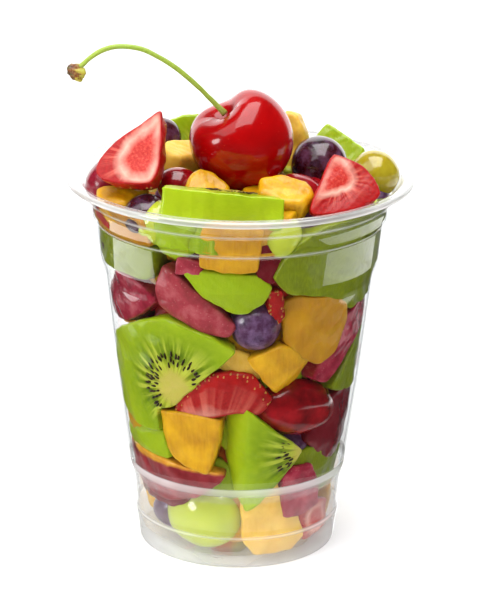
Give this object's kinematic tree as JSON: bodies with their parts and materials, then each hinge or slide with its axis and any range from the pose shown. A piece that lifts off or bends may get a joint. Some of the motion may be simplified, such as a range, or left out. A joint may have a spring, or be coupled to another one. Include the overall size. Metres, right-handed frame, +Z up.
{
  "type": "fruit cup",
  "caption": "Clear tapered plastic cup packed with cut fruit and berries and heaped above its rim, with a whole cherry on its long stalk on top.",
  "frame": {"origin": "middle of the cup's foot, on the surface it stands on", "axes": "+Z up along the cup's axis, -Y towards the side shown in the picture, +X to that view's right"},
  "size_m": [0.095, 0.095, 0.1428],
  "materials": {
    "clear_plastic": "clear gloss",
    "mixed_fruit": "wet",
    "cherry_skin": "gloss",
    "green_stalk": "satin",
    "strawberry": "wet",
    "kiwi": "wet",
    "mango": "wet",
    "plum": "wet",
    "dark_grape": "gloss",
    "green_grape": "gloss",
    "blueberry": "bloomed"
  },
  "bodies": {
    "root": {"cup": "clear_plastic", "fruit_heap": "mixed_fruit", "cherry": "cherry_skin", "cherry_stem": "green_stalk", "strawberry_left": "strawberry", "strawberry_right": "strawberry", "strawberry_back": "strawberry", "kiwi_front": "kiwi", "kiwi_back_left": "kiwi", "kiwi_back_right": "kiwi", "mango_front": "mango", "mango_left": "mango", "mango_back": "mango", "peach_middle": "mango", "peach_left": "mango", "peach_back": "mango", "plum_left": "plum", "plum_right": "plum", "grape_red": "dark_grape", "grape_back": "dark_grape", "grape_black": "dark_grape", "grape_green": "green_grape", "blueberry_left": "blueberry", "blueberry_back": "blueberry", "blueberry_rear": "blueberry"}
  },
  "joints": []
}
